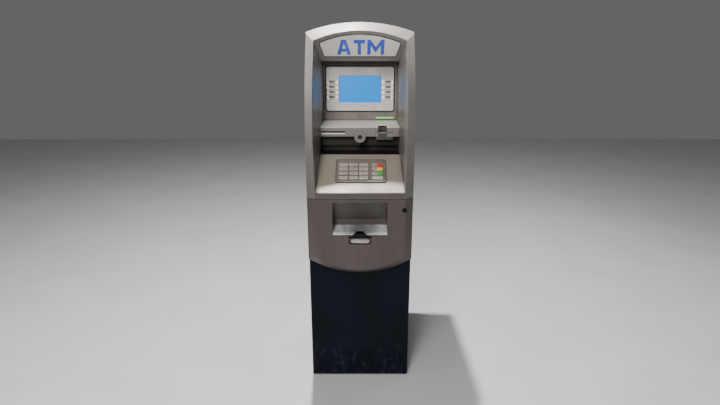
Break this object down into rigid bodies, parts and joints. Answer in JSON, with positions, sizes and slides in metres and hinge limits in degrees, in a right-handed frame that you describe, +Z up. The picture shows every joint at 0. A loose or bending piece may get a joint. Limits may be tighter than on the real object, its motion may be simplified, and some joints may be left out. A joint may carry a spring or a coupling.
{
  "type": "atm machine",
  "caption": "Free-standing cash machine with a steel vault, an arched grey front with screen and keypad, a card shelf and a cash tray.",
  "frame": {"origin": "on the floor, under the middle of the machine's footprint", "axes": "+Z up, -Y out of the customer's front, +X to the customer's right"},
  "size_m": [0.405, 0.58, 1.444],
  "materials": {
    "fascia_grey": "satin, textured paint on a moulded shell",
    "navy_paint": "powder coat",
    "surround_taupe": "fine moulded texture",
    "bezel_grey": "satin moulded",
    "sign_white": "backlit acrylic",
    "letter_blue": "vinyl",
    "screen_glass": "flat glass",
    "lcd_black": "matt black",
    "tray_steel": "brushed",
    "lock_steel": "black oxide",
    "zinc_steel": "zinc plated",
    "mechanism_grey": "painted housing",
    "roller_rubber": "matt",
    "receipt_paper": "thermal paper",
    "light_green": "translucent lens",
    "lamp_white": "translucent diffuser",
    "key_grey": "satin moulded",
    "key_red": "satin moulded",
    "key_yellow": "satin moulded",
    "key_green": "satin moulded"
  },
  "bodies": {
    "root": {"vault_body": "navy_paint", "upper_cabinet": "navy_paint", "rear_panel": "navy_paint", "rear_panel_screws": "zinc_steel", "control_box": "mechanism_grey", "hinge_pins": "zinc_steel", "cash_dispenser": "mechanism_grey", "cash_cassette": "mechanism_grey"},
    "feed_rollers": {"feed_rollers": "roller_rubber"},
    "upper_front": {"upper_fascia": "fascia_grey", "sign_panel": "sign_white", "sign_letters": "letter_blue", "sign_lamp": "lamp_white", "display_surround": "surround_taupe", "screen_bezel": "bezel_grey", "screen_glass": "screen_glass", "lcd_module": "lcd_black", "reader_shelf": "fascia_grey", "receipt_printer": "mechanism_grey", "card_reader": "lcd_black", "card_light": "light_green", "audio_jack": "bezel_grey", "speaker": "lcd_black", "keypad_deck": "fascia_grey", "keypad_housing": "bezel_grey"},
    "paper_roll": {"paper_roll": "receipt_paper"},
    "platen_roller": {"platen_roller": "roller_rubber"},
    "vault_door": {"vault_door": "navy_paint", "cover_hinge_pins": "zinc_steel"},
    "combination_dial": {"combination_dial": "lock_steel"},
    "bolt_handle": {"bolt_handle": "lock_steel"},
    "lock_bolts": {"lock_bolts": "zinc_steel"},
    "lower_cover": {"lower_fascia": "fascia_grey", "cash_tray": "tray_steel", "key_lock": "lock_steel"},
    "lock_cam": {"lock_cam": "lock_steel"},
    "key_1": {"key_1": "key_grey"},
    "key_2": {"key_2": "key_grey"},
    "key_3": {"key_3": "key_grey"},
    "key_cancel": {"key_cancel": "key_red"},
    "key_4": {"key_4": "key_grey"},
    "key_5": {"key_5": "key_grey"},
    "key_6": {"key_6": "key_grey"},
    "key_clear": {"key_clear": "key_yellow"},
    "key_7": {"key_7": "key_grey"},
    "key_8": {"key_8": "key_grey"},
    "key_9": {"key_9": "key_grey"},
    "key_enter": {"key_enter": "key_green"},
    "key_left": {"key_left": "key_grey"},
    "key_0": {"key_0": "key_grey"},
    "key_right": {"key_right": "key_grey"},
    "key_blank": {"key_blank": "key_grey"},
    "function_key_left_1": {"function_key_left_1": "key_grey"},
    "function_key_left_2": {"function_key_left_2": "key_grey"},
    "function_key_left_3": {"function_key_left_3": "key_grey"},
    "function_key_left_4": {"function_key_left_4": "key_grey"},
    "function_key_right_1": {"function_key_right_1": "key_grey"},
    "function_key_right_2": {"function_key_right_2": "key_grey"},
    "function_key_right_3": {"function_key_right_3": "key_grey"},
    "function_key_right_4": {"function_key_right_4": "key_grey"}
  },
  "joints": [
    {"name": "upper_front_hinge", "type": "hinge", "parent": "root", "child": "upper_front", "pos_m": [-0.198, -0.055, 1.125], "axis": [0, 0, -1], "range_deg": [0, 105]},
    {"name": "vault_door_hinge", "type": "hinge", "parent": "root", "child": "vault_door", "pos_m": [-0.198, -0.214, 0.4], "axis": [0, 0, -1], "range_deg": [0, 100]},
    {"name": "cover_hinge", "type": "hinge", "parent": "vault_door", "child": "lower_cover", "pos_m": [-0.2005, -0.248, 0.674], "axis": [0, 0, -1], "range_deg": [0, 90]},
    {"name": "combination_dial_turn", "type": "hinge", "parent": "vault_door", "child": "combination_dial", "pos_m": [0.12, -0.25, 0.61], "axis": [0, -1, 0], "continuous": true},
    {"name": "bolt_handle_turn", "type": "hinge", "parent": "vault_door", "child": "bolt_handle", "pos_m": [-0.125, -0.25, 0.61], "axis": [0, -1, 0], "range_deg": [0, 90]},
    {"name": "lock_bolts_slide", "type": "slide", "parent": "vault_door", "child": "lock_bolts", "axis": [1, 0, 0], "range_m": [0, 0.018]},
    {"name": "lock_cam_turn", "type": "hinge", "parent": "lower_cover", "child": "lock_cam", "pos_m": [0.169, -0.27, 0.761], "axis": [0, -1, 0], "range_deg": [0, 90]},
    {"name": "paper_roll_spin", "type": "hinge", "parent": "upper_front", "child": "paper_roll", "pos_m": [-0.1055, 0.05, 0.966], "axis": [1, 0, 0], "continuous": true},
    {"name": "platen_roller_spin", "type": "hinge", "parent": "upper_front", "child": "platen_roller", "pos_m": [-0.1055, -0.082, 1.0355], "axis": [1, 0, 0], "continuous": true},
    {"name": "feed_rollers_spin", "type": "hinge", "parent": "root", "child": "feed_rollers", "pos_m": [0, -0.185, 0.71], "axis": [1, 0, 0], "continuous": true},
    {"name": "key_1_press", "type": "slide", "parent": "upper_front", "child": "key_1", "axis": [0, 0.5885, -0.8085], "range_m": [0, 0.0025], "stiffness_N_per_m": 300, "springref_m": -0.002},
    {"name": "key_2_press", "type": "slide", "parent": "upper_front", "child": "key_2", "axis": [0, 0.5885, -0.8085], "range_m": [0, 0.0025], "stiffness_N_per_m": 300, "springref_m": -0.002},
    {"name": "key_3_press", "type": "slide", "parent": "upper_front", "child": "key_3", "axis": [0, 0.5885, -0.8085], "range_m": [0, 0.0025], "stiffness_N_per_m": 300, "springref_m": -0.002},
    {"name": "key_cancel_press", "type": "slide", "parent": "upper_front", "child": "key_cancel", "axis": [0, 0.5885, -0.8085], "range_m": [0, 0.0025], "stiffness_N_per_m": 300, "springref_m": -0.002},
    {"name": "key_4_press", "type": "slide", "parent": "upper_front", "child": "key_4", "axis": [0, 0.5885, -0.8085], "range_m": [0, 0.0025], "stiffness_N_per_m": 300, "springref_m": -0.002},
    {"name": "key_5_press", "type": "slide", "parent": "upper_front", "child": "key_5", "axis": [0, 0.5885, -0.8085], "range_m": [0, 0.0025], "stiffness_N_per_m": 300, "springref_m": -0.002},
    {"name": "key_6_press", "type": "slide", "parent": "upper_front", "child": "key_6", "axis": [0, 0.5885, -0.8085], "range_m": [0, 0.0025], "stiffness_N_per_m": 300, "springref_m": -0.002},
    {"name": "key_clear_press", "type": "slide", "parent": "upper_front", "child": "key_clear", "axis": [0, 0.5885, -0.8085], "range_m": [0, 0.0025], "stiffness_N_per_m": 300, "springref_m": -0.002},
    {"name": "key_7_press", "type": "slide", "parent": "upper_front", "child": "key_7", "axis": [0, 0.5885, -0.8085], "range_m": [0, 0.0025], "stiffness_N_per_m": 300, "springref_m": -0.002},
    {"name": "key_8_press", "type": "slide", "parent": "upper_front", "child": "key_8", "axis": [0, 0.5885, -0.8085], "range_m": [0, 0.0025], "stiffness_N_per_m": 300, "springref_m": -0.002},
    {"name": "key_9_press", "type": "slide", "parent": "upper_front", "child": "key_9", "axis": [0, 0.5885, -0.8085], "range_m": [0, 0.0025], "stiffness_N_per_m": 300, "springref_m": -0.002},
    {"name": "key_enter_press", "type": "slide", "parent": "upper_front", "child": "key_enter", "axis": [0, 0.5885, -0.8085], "range_m": [0, 0.0025], "stiffness_N_per_m": 300, "springref_m": -0.002},
    {"name": "key_left_press", "type": "slide", "parent": "upper_front", "child": "key_left", "axis": [0, 0.5885, -0.8085], "range_m": [0, 0.0025], "stiffness_N_per_m": 300, "springref_m": -0.002},
    {"name": "key_0_press", "type": "slide", "parent": "upper_front", "child": "key_0", "axis": [0, 0.5885, -0.8085], "range_m": [0, 0.0025], "stiffness_N_per_m": 300, "springref_m": -0.002},
    {"name": "key_right_press", "type": "slide", "parent": "upper_front", "child": "key_right", "axis": [0, 0.5885, -0.8085], "range_m": [0, 0.0025], "stiffness_N_per_m": 300, "springref_m": -0.002},
    {"name": "key_blank_press", "type": "slide", "parent": "upper_front", "child": "key_blank", "axis": [0, 0.5885, -0.8085], "range_m": [0, 0.0025], "stiffness_N_per_m": 300, "springref_m": -0.002},
    {"name": "function_key_left_1_press", "type": "slide", "parent": "upper_front", "child": "function_key_left_1", "axis": [0, 0.9977, -0.0685], "range_m": [0, 0.002], "stiffness_N_per_m": 300, "springref_m": -0.002},
    {"name": "function_key_left_2_press", "type": "slide", "parent": "upper_front", "child": "function_key_left_2", "axis": [0, 0.9977, -0.0685], "range_m": [0, 0.002], "stiffness_N_per_m": 300, "springref_m": -0.002},
    {"name": "function_key_left_3_press", "type": "slide", "parent": "upper_front", "child": "function_key_left_3", "axis": [0, 0.9977, -0.0685], "range_m": [0, 0.002], "stiffness_N_per_m": 300, "springref_m": -0.002},
    {"name": "function_key_left_4_press", "type": "slide", "parent": "upper_front", "child": "function_key_left_4", "axis": [0, 0.9977, -0.0685], "range_m": [0, 0.002], "stiffness_N_per_m": 300, "springref_m": -0.002},
    {"name": "function_key_right_1_press", "type": "slide", "parent": "upper_front", "child": "function_key_right_1", "axis": [0, 0.9977, -0.0685], "range_m": [0, 0.002], "stiffness_N_per_m": 300, "springref_m": -0.002},
    {"name": "function_key_right_2_press", "type": "slide", "parent": "upper_front", "child": "function_key_right_2", "axis": [0, 0.9977, -0.0685], "range_m": [0, 0.002], "stiffness_N_per_m": 300, "springref_m": -0.002},
    {"name": "function_key_right_3_press", "type": "slide", "parent": "upper_front", "child": "function_key_right_3", "axis": [0, 0.9977, -0.0685], "range_m": [0, 0.002], "stiffness_N_per_m": 300, "springref_m": -0.002},
    {"name": "function_key_right_4_press", "type": "slide", "parent": "upper_front", "child": "function_key_right_4", "axis": [0, 0.9977, -0.0685], "range_m": [0, 0.002], "stiffness_N_per_m": 300, "springref_m": -0.002}
  ],
  "couplings": [
    {"joint": "lock_bolts_slide", "follows": "bolt_handle_turn", "m_per_rad": 0.01145},
    {"joint": "paper_roll_spin", "follows": "platen_roller_spin", "ratio": 0.2}
  ]
}
